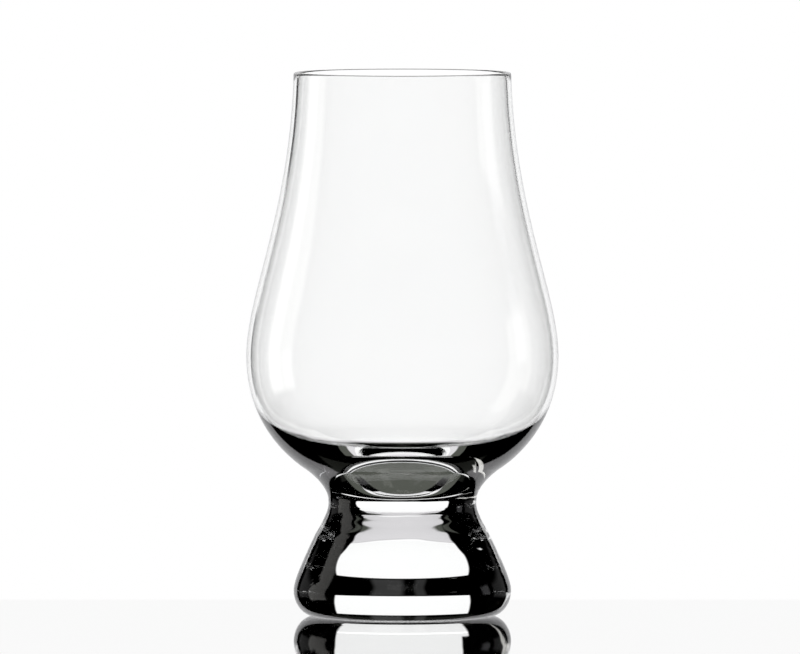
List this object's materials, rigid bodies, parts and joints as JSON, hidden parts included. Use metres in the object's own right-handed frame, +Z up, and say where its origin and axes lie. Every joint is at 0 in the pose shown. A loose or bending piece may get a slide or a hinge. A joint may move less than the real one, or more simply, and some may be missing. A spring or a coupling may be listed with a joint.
{
  "type": "whisky nosing glass",
  "caption": "Clear crystal nosing glass: a thin tulip bowl that narrows to its rim, hot welded onto a short solid foot.",
  "frame": {"origin": "middle of the foot's underside, in the plane of the table", "axes": "+Z up the glass's axis to the rim, +Y away from the picture's camera"},
  "size_m": [0.066, 0.066, 0.115],
  "materials": {
    "crystal": "clear, fire polished",
    "foot_crystal": "clear, pressed and fire polished"
  },
  "bodies": {
    "root": {"bowl": "crystal", "base": "foot_crystal"}
  },
  "joints": []
}
